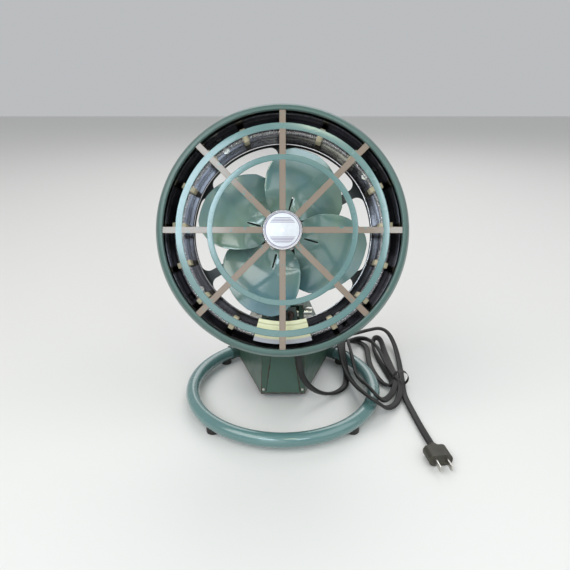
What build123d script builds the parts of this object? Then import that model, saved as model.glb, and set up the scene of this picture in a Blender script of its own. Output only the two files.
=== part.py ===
from build123d import *
import math
import os

# Round fan heater on a tube ring stand, in millimetres.
# Origin: centre of the ring stand, on the surface it rests on. +Z up, the grille faces -Y.

# ---- Ring stand ----
ring_radius = 119.5          # centre line of the bent tube
tube_radius = 8.75
foot_drop = 5.0              # how far the rubber feet hold the tube up
foot_radius = 7.8
foot_angles = (-135, -45, 45, 135)
clamp_wall = 1.6             # strap that ties the pedestal to the tube
clamp_span = 12.0            # degrees of the ring that one strap covers

# ---- Pedestal: a wedge of folded sheet, narrow at the front, open below ----
sheet = 1.2
floor_gap = 8.0              # bottom edge above the surface
front_y = -13.0
rear_y = 98.0
front_half_width = 29.0      # at the bottom edge
wing_flare = 0.35            # widening per mm towards the rear
wing_lean = 0.03             # narrowing per mm of height
pedestal_top = 136.0
cap_depth = 21.0             # top face, front to back
rear_wall_height = 22.0
seam_half_width = 23.2       # front panel at the bottom edge
seam_lean = 0.139            # front panel narrows per mm of height
panel_height = 90.0
panel_gap = 0.7
panel_lap = 2.0              # hidden flange behind the front wall
notch_half_width = 20.0      # throat that the head's bracket swings in
notch_floor = 100.0
cover_gap = 0.3
cover_screw_radius = 2.0

# ---- Head: drum, grille, heater, all about one axis tilted back ----
tilt = 21.0
head_y = -62.0               # centre of the front lip
head_z = 247.0
drum_radius = 138.5
drum_depth = 63.2
drum_corner = 14.0
drum_wall = 1.2
lip_radius = 131.8
skirt_gap = 0.3
skirt_depth = 26.0
grille_depth = 2.0
grille_wall = 1.2
spoke_count = 8
spoke_width = 7.0
inner_ring_radius = 79.7
inner_ring_width = 6.6
outer_ring_radius = 113.7
outer_ring_width = 7.4
badge_radius = 22.3
window_inner = 44.0
window_outer = 104.5
window_corner = 9.0
arm_count = 6
arm_half_width = 5.4
spider_joint = 0.02
shaft_hole = 14.0

# ---- Heating element ----
dish_wall = 0.6
dish_rim_radius = 131.6
dish_rim_depth = 16.5
dish_floor_depth = 47.5
dish_bore = 104.2
block_count = 15
block_first = -61.3          # degrees, anticlockwise from +X seen from the front
block_step = 21.62
block_inner = 110.5
block_outer = 126.0
block_thickness = 6.5
block_depth = 29.0
block_height = 9.0
coil_radii = (114.6, 121.9)
coil_thickness = 5.4
coil_clearance = 0.2
coil_gap_half_angle = 15.5   # element is open over this angle at the bottom
cover_inner = 101.5
cover_outer = 127.5
cover_half_angle = 15.2
cover_depth = 24.0
cover_board = 1.2
post_radius_at = 116.5
post_angles = (34.5, 124.5, 214.5, 304.5)

# ---- Fan ----
fan_depth = 38.0
fan_radius = 98.0
blade_count = 4
blade_phase = 74.0
blade_wall = 1.0
blade_twist = 0.33           # mm of depth per degree at the outer part
slit_inner = 26.0
slit_outer = 42.5
slit_width = 1.8
hub_radius = 22.5
shaft_radius = 4.0
running_clearance = 0.05

# ---- Motor, behind the drum ----
motor_radius = 37.0
motor_wall = 2.0
bell_depth = 20.7
stator_depth = 20.0
air_gap = 0.5
rotor_radius = 17.5
stud_circle = 32.5
stud_radius = 2.0

# ---- Tilt joint ----
pivot_y = -4.0
pivot_z = 122.0
pivot_radius = 4.0
ear_inner = 15.0
ear_wall = 2.5
ear_radius = 9.0
bracket_wall = 2.5

# ---- Switch on the sloping cover ----
switch_y = 62.0
knob_radius = 15.0
knob_height = 15.0

# ---- Cord ----
cord_radius = 3.5
hank_radius = 10.5
tie_width = 6.0
plug_length = 28.0
plug_width = 27.0
plug_thickness = 15.0
prong_spacing = 12.7

os.makedirs("parts", exist_ok=True)

ring_z = foot_drop + tube_radius
head_frame = Location((0, head_y, head_z), (-tilt, 0, 0))


def save(node, *solids):
    shape = solids[0] if len(solids) == 1 else Compound(children=list(solids))
    export_step(shape, f"parts/{node}.step")


def save_head(node, *solids):
    save(node, *[head_frame * solid for solid in solids])


def in_head(y, z):
    """Depth and height, in the head's own frame, of a point of the whole machine."""
    back, up = y - head_y, z - head_z
    angle = math.radians(tilt)
    return (back * math.cos(angle) - up * math.sin(angle),
            back * math.sin(angle) + up * math.cos(angle))


# The head's own frame: X to the right, Y is depth behind the front lip, Z up.


def around(solid, angles):
    """Copies about the head's axis, degrees anticlockwise seen from the front."""
    return [Rot(0, -angle, 0) * solid for angle in angles]


def turned(points):
    """Solid turned about the head's axis from a closed outline of (radius, depth)."""
    return revolve(make_face(Polyline(*points, close=True)), Axis.Y)


def disc(radius, depth, thickness, at=(0, 0), bore=0.0):
    """Round plate or tube across the head's axis."""
    section = Circle(radius) - Circle(bore) if bore else Circle(radius)
    place = Plane(origin=(at[0], depth, at[1]), x_dir=(1, 0, 0), z_dir=(0, 1, 0))
    return extrude(place * section, thickness)


def pressed_ring(points, radii, wall, side=Side.LEFT):
    """Ring pressed from sheet: a bent path of (radius, depth), one wall thick."""
    path = FilletPolyline(*points, radius=radii)
    return revolve(make_face(offset(path, amount=wall, side=side)), Axis.Y)


def front_plate(section, depth, thickness):
    """Flat section drawn as seen from the front, placed across the head's axis."""
    place = Plane(origin=(0, depth + thickness, 0), x_dir=(1, 0, 0), z_dir=(0, -1, 0))
    return extrude(place * section, thickness)


def cross_tube(outer, inner, start, end, y, z):
    """Tube along X."""
    section = Circle(outer) - Circle(inner) if inner else Circle(outer)
    place = Plane(origin=(start, y, z), z_dir=(1, 0, 0))
    return extrude(place * section, end - start)


# ---- Ring stand ----

def ring_tube(radius):
    return Pos(0, 0, ring_z) * Torus(ring_radius, radius)


def foot(angle):
    seat = ring_tube(tube_radius + 0.05)
    x = ring_radius * math.cos(math.radians(angle))
    y = ring_radius * math.sin(math.radians(angle))
    post = Pos(x, y, 0) * Cylinder(foot_radius, ring_z - 1, align=(Align.CENTER, Align.CENTER, Align.MIN))
    post = fillet(post.edges().group_by(Axis.Z)[0], 2.0)
    return post - seat


save("ring_base", ring_tube(tube_radius))
save("rubber_feet", *[foot(angle) for angle in foot_angles])


# ---- Pedestal ----

slope_low = Vector(0, rear_y, floor_gap + rear_wall_height)
slope_high = Vector(0, front_y + cap_depth, pedestal_top)
slope_run = (slope_high - slope_low).normalized()
slope_out = Vector(0, slope_run.Z, -slope_run.Y)


def wedge(side=0.0, front=0.0, rear=0.0, slope=0.0, top=0.0, floor=0.0):
    """The pedestal's outline with each face moved inwards by the given amount."""
    corner = Vector(front_half_width, front_y, floor_gap)
    faces = [
        (Vector(0, front_y, 0), Vector(0, -1, 0), front),
        (Vector(0, rear_y, 0), Vector(0, 1, 0), rear),
        (Vector(0, 0, pedestal_top), Vector(0, 0, 1), top),
        (Vector(0, 0, floor_gap), Vector(0, 0, -1), floor),
        (slope_low, slope_out, slope),
    ]
    for sign in (-1, 1):
        normal = Vector(sign, -wing_flare, wing_lean).normalized()
        faces.append((Vector(sign * corner.X, corner.Y, corner.Z), normal, side))
    block = Box(400, 400, 400)
    for origin, normal, inset in faces:
        block = split(block, Plane(origin=origin - normal * inset, z_dir=normal), keep=Keep.BOTTOM)
    return block


def half_width(y, z):
    return front_half_width + wing_flare * (y - front_y) - wing_lean * (z - floor_gap)


def seam_panel(grow, low, high):
    """Front panel outline, drawn on the front face, grown by a margin."""
    def seam(z):
        return seam_half_width - seam_lean * (z - floor_gap) + grow

    section = Polygon((-seam(low), low), (seam(low), low), (seam(high), high), (-seam(high), high), align=None)
    return Plane(origin=(0, front_y, 0), x_dir=(1, 0, 0), z_dir=(0, -1, 0)) * section


strap_angle = 55.2           # where the wings meet the tube
strap_outer = tube_radius + clamp_wall


def strap(side):
    """Half-turn strap on the tube at one rear corner of the pedestal."""
    ring = ring_tube(strap_outer) - ring_tube(tube_radius + 0.05)
    middle = strap_angle if side > 0 else 180 - strap_angle
    length = 2 * ring_radius * math.tan(math.radians(clamp_span / 2))
    place = Location((ring_radius * math.cos(math.radians(middle)),
                      ring_radius * math.sin(math.radians(middle)), ring_z), (0, 0, middle + 90))
    return ring & (place * Box(length, 4 * tube_radius, 4 * tube_radius))


bush_x, bush_z = 18.9, 91.5
bush_radius = 5.0
cover_screw_places = [(side * offset, run) for side in (-1, 1) for offset, run in ((46.0, 14.0), (24.0, 96.0))]


def on_slope(x, run, out=0.0):
    """Place on the sloping cover, with local Z pointing out of it."""
    origin = slope_low + slope_run * run + slope_out * out
    return Plane(origin=(x, origin.Y, origin.Z), x_dir=(1, 0, 0), z_dir=slope_out)


shell = wedge() - wedge(side=sheet, front=sheet, rear=sheet, slope=-9, top=sheet, floor=-9)
shell -= extrude(seam_panel(0, floor_gap - 5, panel_height + panel_gap), -3 * sheet)
throat = Pos(0, front_y, (notch_floor + pedestal_top - sheet) / 2)
shell -= throat * Box(2 * notch_half_width, 6 * sheet, pedestal_top - sheet - notch_floor)
shell -= cross_tube(pivot_radius + 0.2, 0, -60, 60, pivot_y, pivot_z)
shell -= ring_tube(strap_outer + 0.1)
shell -= Plane(origin=(bush_x, front_y + 9, bush_z), z_dir=(0, -1, 0)) * Cylinder(bush_radius + 0.1, 30)
save("pedestal_shell", shell)
save("ring_straps", strap(-1), strap(1))

flange = extrude(seam_panel(panel_lap, floor_gap + 1, panel_height), -sheet)
panel = Pos(0, sheet + 0.05, 0) * flange
panel += extrude(seam_panel(-panel_gap, floor_gap + 1, panel_height), -(sheet + 0.3))
save("front_panel", panel)

cover = wedge(side=sheet + cover_gap, rear=sheet + cover_gap, top=sheet + cover_gap, front=sheet)
cover -= wedge(side=sheet, rear=sheet, top=sheet, front=0, slope=sheet)
switch_run = (rear_y - switch_y) / abs(slope_run.Y)
switch_bush = 4.5
cover -= on_slope(0, switch_run) * Cylinder(switch_bush + 0.1, 10)
for x, run in cover_screw_places:
    cover -= on_slope(x, run) * Cylinder(cover_screw_radius + 0.1, 10)
save("pedestal_cover", cover)


def cover_screw(x, run):
    """Round-headed screw with its tapped lug behind the cover."""
    head = on_slope(x, run, 0.05) * extrude(Circle(2 * cover_screw_radius), 1.4, taper=30)
    shank = on_slope(x, run, 0.1) * extrude(Circle(cover_screw_radius), -7)
    return head + shank


save("cover_screws", *[cover_screw(x, run) for x, run in cover_screw_places])


# ---- Switch ----

body_top = -sheet - 0.1
switch_body = on_slope(0, switch_run, body_top) * extrude(Rectangle(24, 26), -18)
switch_body += on_slope(0, switch_run, body_top) * extrude(Circle(switch_bush), sheet + 4.5)
spindle_bore = 3.0 + running_clearance
switch_body -= on_slope(0, switch_run, body_top + 10) * extrude(Circle(spindle_bore), -22)
save("switch_body", switch_body)
nut_face = 0.1
save("switch_nut", on_slope(0, switch_run, nut_face) * extrude(RegularPolygon(7, 6) - Circle(switch_bush + 0.05), 2.4))

knob_base = 3.6
knob = on_slope(0, switch_run, knob_base) * extrude(Circle(knob_radius), knob_height, taper=4)
knob -= on_slope(0, switch_run, knob_base - 0.1) * extrude(Circle(switch_bush + 1.2), 3)
grip = on_slope(0, switch_run, knob_base + knob_height) * extrude(Rectangle(6, 26), 3.5)
knob += grip
knob -= on_slope(0, switch_run, knob_base - 0.1) * extrude(Circle(3.0), 12)
save("switch_knob", knob)
save("switch_spindle", on_slope(0, switch_run, body_top - 10) * extrude(Circle(3.0), 10 - body_top + 15.4))


# ---- Drum, with its six-armed back ----

def window_section():
    section = Circle(window_outer) - Circle(window_inner)
    for index in range(arm_count // 2):
        section -= Rot(0, 0, 30 + 60 * index) * Rectangle(3 * window_outer, 2 * arm_half_width)
    return fillet(section.vertices(), window_corner)


drum = pressed_ring([(drum_radius, 11), (drum_radius, drum_depth), (shaft_hole, drum_depth)], [drum_corner], drum_wall)
drum -= front_plate(window_section(), drum_depth - 3 * drum_wall, 6 * drum_wall)
stud_angles = (45, 135, 225, 315)
stud_x = stud_circle * math.cos(math.radians(45))
drum -= Part() + around(disc(stud_radius + 0.2, drum_depth - 5, 10, at=(stud_circle, 0)), stud_angles)

# ---- Tilt bracket, on the back of the drum ----
pivot_depth, pivot_height = in_head(pivot_y, pivot_z)
plate_low, plate_high = -121.0, -107.0
bolt_height = (plate_low + plate_high) / 2
bracket = Pos(0, drum_depth + bracket_wall / 2, bolt_height) * Box(
    2 * (ear_inner + ear_wall), bracket_wall, plate_high - plate_low)
ear_root = [(drum_depth, plate_low), (drum_depth, plate_high), (drum_depth + 8, plate_high), (drum_depth + 8, plate_low)]
web_depth = 71.0
web_high = -88.0
grommet_x, grommet_height = 9.5, -97.0
for sign in (-1, 1):
    start = sign * ear_inner if sign > 0 else -ear_inner - ear_wall
    place = Plane(origin=(start, 0, 0), x_dir=(0, 1, 0), z_dir=(1, 0, 0))
    outline = make_hull(
        [*Polyline(*ear_root, close=True).edges(), *(Pos(pivot_depth, pivot_height) * Circle(ear_radius)).edges()])
    bracket += extrude(place * outline, ear_wall)
bracket += Pos(0, web_depth + ear_wall / 2, (web_high + plate_low) / 2) * Box(
    2 * ear_inner + ear_wall, ear_wall, web_high - plate_low)
bracket -= cross_tube(pivot_radius + running_clearance, 0, -40, 40, pivot_depth, pivot_height)
bracket -= disc(3.6, web_depth - 1, 6, at=(grommet_x, grommet_height))
screw_places = [(-7.0, bolt_height), (7.0, bolt_height)]
for place in screw_places:
    hole = disc(2.6, drum_depth - 5, 9, at=place)
    drum -= hole
    bracket -= hole

post_shank = 1.9
for angle in post_angles:
    drum -= Rot(0, -angle, 0) * disc(post_shank + 0.1, drum_depth - 5, 10, at=(post_radius_at, 0))
rim_screw_depth = 20.0
rim_angles = (-1.5, 181.5)
rim_hole = Plane(origin=(100, rim_screw_depth, 0), z_dir=(1, 0, 0)) * extrude(Circle(2.1), 60)
for hole in around(rim_hole, rim_angles):
    drum -= hole
# The back's arms and centre are their own solid, cut from the drum at the windows' outer edge.
save_head("drum", drum - disc(window_outer, drum_depth - 10, 20))
save_head("rear_spider", drum & disc(window_outer - spider_joint, drum_depth - 10, 20))
save_head("tilt_bracket", bracket)


def bracket_screw(x, height):
    head = disc(4.4, drum_depth + bracket_wall + 0.05, 2.6, at=(x, height))
    return head + disc(2.5, drum_depth - 4.5, 7.5, at=(x, height))


save_head("bracket_screws", *[bracket_screw(*place) for place in screw_places])
save_head("bracket_nuts", *[disc(4.5, drum_depth - drum_wall - 3.3, 3.2, at=place, bore=2.55) for place in screw_places])
grommet = disc(3.5, web_depth - 1.5, 5.5, at=(grommet_x, grommet_height))
grommet += disc(4.7, web_depth - 1.8, 1.7, at=(grommet_x, grommet_height))
grommet += disc(4.7, web_depth + ear_wall + 0.1, 1.7, at=(grommet_x, grommet_height))
save_head("lead_grommet", grommet - disc(2.3, web_depth - 5, 12, at=(grommet_x, grommet_height)))


# ---- Grille, one pressing with the bezel ----

skirt_radius = drum_radius + skirt_gap
bezel_path = [(lip_radius - 0.6, 5.0), (lip_radius - 0.6, 0.0), (136.4, 0.8), (skirt_radius + grille_wall, 8.5),
              (skirt_radius + grille_wall, skirt_depth)]
grille = pressed_ring(bezel_path, [1.4, 4.0, 5.0], grille_wall)
for radius, width in ((inner_ring_radius, inner_ring_width), (outer_ring_radius, outer_ring_width)):
    grille += disc(radius + width / 2, grille_depth, grille_wall, bore=radius - width / 2)
grille += disc(badge_radius - 0.3, grille_depth, grille_wall)
spoke = Pos(lip_radius / 2, grille_depth + grille_wall / 2, 0) * Box(lip_radius - 0.4, grille_wall, spoke_width)
spoke_angles = [index * 360 / spoke_count for index in range(spoke_count)]
for copy in around(spoke, spoke_angles):
    grille += copy
for hole in around(rim_hole, rim_angles):
    grille -= hole
save_head("front_grille", grille)

rim_screw = Plane(origin=(drum_radius - 5, rim_screw_depth, 0), z_dir=(1, 0, 0)) * extrude(Circle(2.0), 7)
rim_head_start = skirt_radius + grille_wall + 0.05
rim_head = Plane(origin=(rim_head_start, rim_screw_depth, 0), z_dir=(1, 0, 0)) * extrude(Circle(4.2), 1.6, taper=25)
save_head("rim_screws", *around(rim_screw + rim_head, rim_angles))

badge_face = grille_depth - 0.05
badge_rim_width = 2.4
rim_section = [(badge_radius - badge_rim_width, badge_face), (badge_radius, badge_face), (badge_radius, 0.4),
               (badge_radius - 0.8, -0.8), (badge_radius - badge_rim_width + 0.6, -0.8), (badge_radius - badge_rim_width, 0)]
save_head("badge_rim", turned(rim_section))
plate_edge = badge_radius - badge_rim_width - 0.05
save_head("badge_plate", turned([(0, badge_face), (plate_edge, badge_face), (plate_edge, 0.9), (0, 0.5)]))


# ---- Heating element ----

dish_path = [(dish_rim_radius, dish_rim_depth), (130.4, 36.0), (126.0, dish_floor_depth), (dish_bore, dish_floor_depth),
             (dish_bore - 0.6, dish_floor_depth - 4)]
dish = pressed_ring(dish_path, [12.0, 5.0, 1.5], dish_wall, Side.RIGHT)
for angle in post_angles:
    dish -= Rot(0, -angle, 0) * disc(post_shank + 0.1, dish_floor_depth - 4, 8, at=(post_radius_at, 0))
save_head("heat_reflector", dish)

dish_back = dish_floor_depth + dish_wall
plate_front = drum_depth - drum_wall
post = disc(4.5, dish_back + 0.05, plate_front - dish_back - 0.1, at=(post_radius_at, 0), bore=post_shank + 0.1)
save_head("reflector_posts", *around(post, post_angles))
post_screw = disc(4.0, dish_floor_depth - 2.1, 2.0, at=(post_radius_at, 0))
post_screw += disc(post_shank, dish_floor_depth - 1, drum_depth - dish_floor_depth + 4, at=(post_radius_at, 0))
save_head("reflector_screws", *around(post_screw, post_angles))
post_nut = disc(3.8, drum_depth + 0.05, 2.4, at=(post_radius_at, 0), bore=post_shank + 0.05)
save_head("reflector_nuts", *around(post_nut, post_angles))

coil_depth = block_depth + block_height / 2
block_middle = (block_inner + block_outer) / 2
block = Pos(block_middle, coil_depth, 0) * Box(block_outer - block_inner, block_height, block_thickness)
tenon_low, tenon_high = block_inner, block_inner + 6.5
foot_end = dish_floor_depth - 0.05
block_back = block_depth + block_height
block += Pos((tenon_low + tenon_high) / 2, (block_back + foot_end) / 2, 0) * Box(
    tenon_high - tenon_low, foot_end - block_back, block_thickness)
bore = coil_thickness / 2 + coil_clearance
for radius in coil_radii:
    block -= Pos(radius, coil_depth, 0) * Cylinder(bore, 4 * block_thickness)
save_head("ceramic_blocks", *around(block, [block_first + index * block_step for index in range(block_count)]))


def coil(radius):
    """The wound wire's outer envelope: one round bar bent round the axis, open at the bottom."""
    section = Plane(origin=(radius, coil_depth, 0), x_dir=(1, 0, 0), z_dir=(0, 0, 1)) * Circle(coil_thickness / 2)
    bar = revolve(section, Axis.Y, 360 - 2 * coil_gap_half_angle)
    return Rot(0, 90 + coil_gap_half_angle, 0) * bar


save_head("heating_coil_inner", coil(coil_radii[0]))
save_head("heating_coil_outer", coil(coil_radii[1]))

board = Circle(cover_outer) - Circle(cover_inner)
wedge_reach = 2 * cover_outer
wedge_edge = wedge_reach * math.tan(math.radians(cover_half_angle))
board &= Polygon((0, 0), (-wedge_edge, -wedge_reach), (wedge_edge, -wedge_reach), align=None)
terminal_angles = (270 - 9, 270 + 9)
terminal_radius = 111.0
terminal = disc(2.6, cover_depth + cover_board + 0.05, dish_floor_depth - cover_depth - cover_board - 0.1,
                at=(terminal_radius, 0))
save_head("terminal_cover", front_plate(board, cover_depth, cover_board))
save_head("terminal_posts", *around(terminal, terminal_angles))

lead_radius = 2.2
lead_points = [(grommet_x, dish_back + 1.6, -111), (grommet_x, 55, -107.5), (grommet_x, 60.5, grommet_height),
               (grommet_x, 84, grommet_height), (grommet_x, 96, -110)]
lead_path = FilletPolyline(*lead_points, radius=[5, 4, 8])
lead_start = Plane(origin=lead_path @ 0, z_dir=lead_path % 0)
save_head("heater_leads", sweep(lead_start * Circle(lead_radius), path=lead_path))


# ---- Motor ----

bell_front = drum_depth + 0.05
stator_front = bell_front + bell_depth
stator_back = stator_front + stator_depth
bell_back = stator_back + bell_depth
boss = 10.0
bush_outer = 7.5
bush_length = 13.0
front_bush = bell_front - 3.0
rear_bush = bell_back - bush_length + 3.0


def bell(open_end, closed_end, bush_start):
    """Cup-shaped end of the motor with a boss for its bush."""
    inward = 1 if closed_end > open_end else -1
    floor = closed_end - inward * motor_wall
    cup = turned([(0, closed_end), (motor_radius, closed_end), (motor_radius, open_end),
                  (motor_radius - motor_wall, open_end), (motor_radius - motor_wall, floor), (0, floor)])
    cup += disc(boss, bush_start, bush_length)
    cup -= disc(bush_outer + 0.02, bush_start - 10, bush_length + 20)
    for hole in around(disc(stud_radius + 0.1, bell_front - 5, bell_back + 10, at=(stud_circle, 0)), stud_angles):
        cup -= hole
    return cup


rear_bell = bell(stator_back + 0.05, bell_back, rear_bush)
vent = Pos(22, bell_back, 0) * Box(14, 4 * motor_wall, 3.2)
for copy in around(vent, [index * 30 + 15 for index in range(12)]):
    rear_bell -= copy
save_head("motor_front_bell", bell(stator_front - 0.05, bell_front, front_bush))
save_head("motor_rear_bell", rear_bell)

core = disc(motor_radius, stator_front, stator_depth, bore=rotor_radius + air_gap)
for hole in around(disc(stud_radius + 0.1, stator_front - 5, stator_depth + 10, at=(stud_circle, 0)), stud_angles):
    core -= hole
save_head("stator_core", core)
winding_inner, winding_outer, winding_depth = 20.5, 29.0, 8.5
save_head(
    "stator_windings",
    disc(winding_outer, stator_front - winding_depth - 0.05, winding_depth, bore=winding_inner),
    disc(winding_outer, stator_back + 0.05, winding_depth, bore=winding_inner))
save_head(
    "shaft_bushes",
    *[disc(bush_outer, start, bush_length, bore=shaft_radius + running_clearance) for start in (front_bush, rear_bush)])
stud = disc(stud_radius, drum_depth - drum_wall - 4.5, bell_back - drum_depth + 10, at=(stud_circle, 0))
save_head("motor_studs", *around(stud, stud_angles))
stud_nuts = []
for start in (drum_depth - drum_wall - 3.25, bell_back + 0.05):
    stud_nuts += around(disc(3.9, start, 3.2, at=(stud_circle, 0), bore=stud_radius + 0.05), stud_angles)
save_head("stud_nuts", *stud_nuts)


# ---- Rotor and fan ----

shaft_front, shaft_back = fan_depth - 8, bell_back + 1.0
save_head("motor_shaft", disc(shaft_radius, shaft_front, shaft_back - shaft_front))
save_head("rotor_core", disc(rotor_radius, stator_front + 2, stator_depth - 4, bore=shaft_radius + 0.02))

flange_front = fan_depth + blade_wall / 2 + 0.6
hub = disc(hub_radius, flange_front, 1.5) + disc(9.0, flange_front, 13)
hub -= disc(shaft_radius + 0.02, flange_front - 5, 30)
grub_depth = flange_front + 8
hub -= Pos(6.5, grub_depth, 0) * Rot(0, 90, 0) * Cylinder(2.05, 8)
rivet_circle = 20.0
rivet_angles = [blade_phase + 90 * index + step for index in range(blade_count) for step in (-17, 17)]
for hole in around(disc(1.85, flange_front - 5, 10, at=(rivet_circle, 0)), rivet_angles):
    hub -= hole
save_head("fan_hub", hub)
save_head("hub_grub_screw", Pos(7.1, grub_depth, 0) * Rot(0, 90, 0) * Cylinder(2.0, 6))

# Blade outline: at each radius, the angle of its rear edge and of its front edge.
blade_outline = [(16, -33, 33), (20, -37, 38), (24, -40, 42), (28, -44, 45), (32, -47, 46), (42, -56, 43), (52, -60, 39), (61, -60, 35),
                 (69, -57, 31.5), (77, -50, 27.5), (84, -39, 23), (90, -28, 18.5), (95, -18, 14), (98, -9, 8)]
blade_columns = 9


def blade_depth(radius, angle):
    """Flat at the root, turning into a screw surface further out."""
    share = min(max((radius - 26) / 26, 0.0), 1.0)
    return fan_depth - blade_twist * angle * share * share * (3 - 2 * share)


def blade():
    grid = []
    for radius, rear, front in blade_outline:
        row = []
        for column in range(blade_columns):
            angle = rear + (front - rear) * column / (blade_columns - 1)
            turn = math.radians(angle)
            row.append((radius * math.cos(turn), blade_depth(radius, angle), radius * math.sin(turn)))
        grid.append(row)
    skin = Face.make_surface_from_array_of_points(grid, tol=0.02)
    solid = thicken(skin, blade_wall / 2, both=True)
    solid -= Pos((slit_inner + slit_outer) / 2, fan_depth, 0) * Box(slit_outer - slit_inner, 30, slit_width)
    for hole in around(disc(1.85, fan_depth - 5, 10, at=(rivet_circle, 0)), (-17, 17)):
        solid -= hole
    return solid


blade_angles = [blade_phase + index * 360 / blade_count for index in range(blade_count)]
save_head("fan_blades", *around(blade(), blade_angles))
rivet = disc(1.8, fan_depth - 2.0, 5, at=(rivet_circle, 0))
rivet += disc(3.0, fan_depth - 2.2, 1.4, at=(rivet_circle, 0))
save_head("blade_rivets", *around(rivet, rivet_angles))


# ---- Pivot through the pedestal's cheeks ----

washer_radius = 7.5
seat = half_width(pivot_y + washer_radius, pivot_z - washer_radius) + 1.0
bolt = cross_tube(pivot_radius, 0, -seat - 7.0, seat + 1.0, pivot_y, pivot_z)
bolt += cross_tube(7.0, 0, seat + 0.05, seat + 4.2, pivot_y, pivot_z)
nut_section = RegularPolygon(7.5, 6) - Circle(pivot_radius + 0.05)
nut_place = Plane(origin=(-seat - 5.2, pivot_y, pivot_z), z_dir=(1, 0, 0))
save("pivot_bolt", bolt)
save("pivot_nut", extrude(nut_place * nut_section, 5.1))
outside = wedge(side=-0.05)
inside = wedge(side=sheet + 0.1)
washers = []
spacers = []
spacer_start = ear_inner + ear_wall + 0.3
for sign in (-1, 1):
    reach = sorted((sign * spacer_start, sign * seat))
    blank = cross_tube(washer_radius, pivot_radius + 0.1, *reach, pivot_y, pivot_z)
    washers.append(blank - outside)
    sleeve = cross_tube(6.5, pivot_radius + 0.1, *reach, pivot_y, pivot_z)
    spacers.append(sleeve & inside)
save("bevel_washers", *washers)
save("cheek_spacers", *spacers)
save_head("ear_spacer", cross_tube(6.5, pivot_radius + running_clearance, 0.15 - ear_inner, ear_inner - 0.15,
                                   pivot_depth, pivot_height))


# ---- Cord, laid from the pedestal's bushing to its plug ----

exit_direction = Vector(0.05, -0.5, -0.866).normalized()
exit_start = Vector(bush_x, front_y - 2.0, bush_z)
sleeve_length = 21.0
exit_tip = exit_start + exit_direction * sleeve_length
collar = Plane(origin=(bush_x, front_y - 2.0, bush_z), z_dir=(0, 1, 0))
sleeve_base = Plane(origin=exit_start - exit_direction * 6, z_dir=exit_direction)
sleeve_taper = math.degrees(math.atan(1.7 / sleeve_length))
bushing = sleeve_base * extrude(Circle(6.3), sleeve_length + 6, taper=sleeve_taper)
bushing = split(bushing, Plane(origin=(0, front_y - 0.05, 0), z_dir=(0, 1, 0)), keep=Keep.BOTTOM)
bushing += collar * extrude(Circle(bush_radius + 1.9), 1.95)
bushing += collar * extrude(Circle(bush_radius), 7)
cord_start = exit_start + exit_direction * 5
cord_bore = cord_radius + 0.05
bushing -= Plane(origin=cord_start, z_dir=exit_direction) * extrude(Circle(cord_bore), 2 * sleeve_length)
save("cord_bushing", bushing)

lead_bend = exit_start + exit_direction * 36
lead_route = [tuple(cord_start), tuple(lead_bend), (25.5, -31.5, 42), (35.5, -26, 25.5), (49, -18.5, 12.5),
              (64, -9.5, 5.4), (77.5, 1, 4.2), (87.5, 15, 6.5), (92, 31, 13)]
hank_route = [(163, 6, 10.8), (158, -18, 10.8), (148.5, -37, 11.8), (136, -50, 17), (121, -58.5, 28), (108, -52, 36),
              (99, -31, 34.5), (94.5, 0, 22.5), (91, 34, 21.5), (88, 65, 33.5), (90, 96, 33.5), (96, 124, 20),
              (106, 145, 11.5), (122, 154, 10.8), (138.5, 147, 10.8), (149.5, 124, 10.8), (156.5, 92, 10.8),
              (161, 50, 10.8)]
tail_route = [(160.5, 0, 6.0), (160.8, -16, 4.2), (164, -48, 3.8), (167.8, -85, 3.9), (171.8, -120, 6.2)]


def bend_radii(points):
    """Radius of the arc at each corner: as large as its two runs allow."""
    radii = []
    for before, corner, after in zip(points, points[1:], points[2:]):
        first = Vector(*corner) - Vector(*before)
        second = Vector(*after) - Vector(*corner)
        half_turn = math.radians(first.get_angle(second)) / 2
        radii.append(0.45 * min(first.length, second.length) / math.tan(half_turn))
    return radii


def laid_tube(name, points, radius):
    radii = bend_radii(points)
    path = FilletPolyline(*points, radius=radii)
    tube = sweep(Plane(origin=path @ 0, z_dir=path % 0) * Circle(radius), path=path)
    ideal = math.pi * radius ** 2 * path.length
    print(name, "length", round(path.length, 1), "smallest radius", round(min(radii), 1),
          "volume over section times length", round(tube.volume / ideal, 4))
    save(name, tube)
    return path


# The hank runs all the way round: its two ends meet inside the tie.
tie_run = Vector(*hank_route[0]) - Vector(*hank_route[-1])
tie_middle = Vector(*hank_route[-1]) + tie_run * 0.62
hank_start = tie_middle + tie_run.normalized() * 0.1
hank_end = tie_middle - tie_run.normalized() * 0.1

laid_tube("cord_lead", lead_route, cord_radius)
laid_tube("cord_hank", [tuple(hank_start), *hank_route, tuple(hank_end)], hank_radius)
tail_path = laid_tube("cord_tail", tail_route, cord_radius)

tie_place = Plane(origin=tie_middle - tie_run.normalized() * tie_width / 2, z_dir=tie_run)
save("cord_tie", tie_place * extrude(Circle(hank_radius + 0.25) - Circle(hank_radius + 0.05), tie_width))

plug_direction = tail_path % 1
flat = Plane(origin=tail_path @ 1, x_dir=(plug_direction.Y, -plug_direction.X, 0), z_dir=plug_direction)
plug = flat * loft([Circle(5.0), Pos(0, 0, 7) * Ellipse(9.0, 6.4)])
plug += flat * Pos(0, 0, 7) * extrude(RectangleRounded(plug_width, plug_thickness - 2, 6), plug_length - 7)
for side in (-1, 1):
    plug -= flat * Pos(side * prong_spacing / 2, 0, plug_length - 4.05) * extrude(Rectangle(1.6, 6.4), 10)
save("plug_body", plug)
prongs = [Pos(side * prong_spacing / 2, 0) * Rectangle(1.5, 6.3) for side in (-1, 1)]
save("plug_blades", *[flat * Pos(0, 0, plug_length - 4) * extrude(section, 20) for section in prongs])
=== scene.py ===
import bpy
import bmesh
import math
from mathutils import Matrix, Vector


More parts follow.
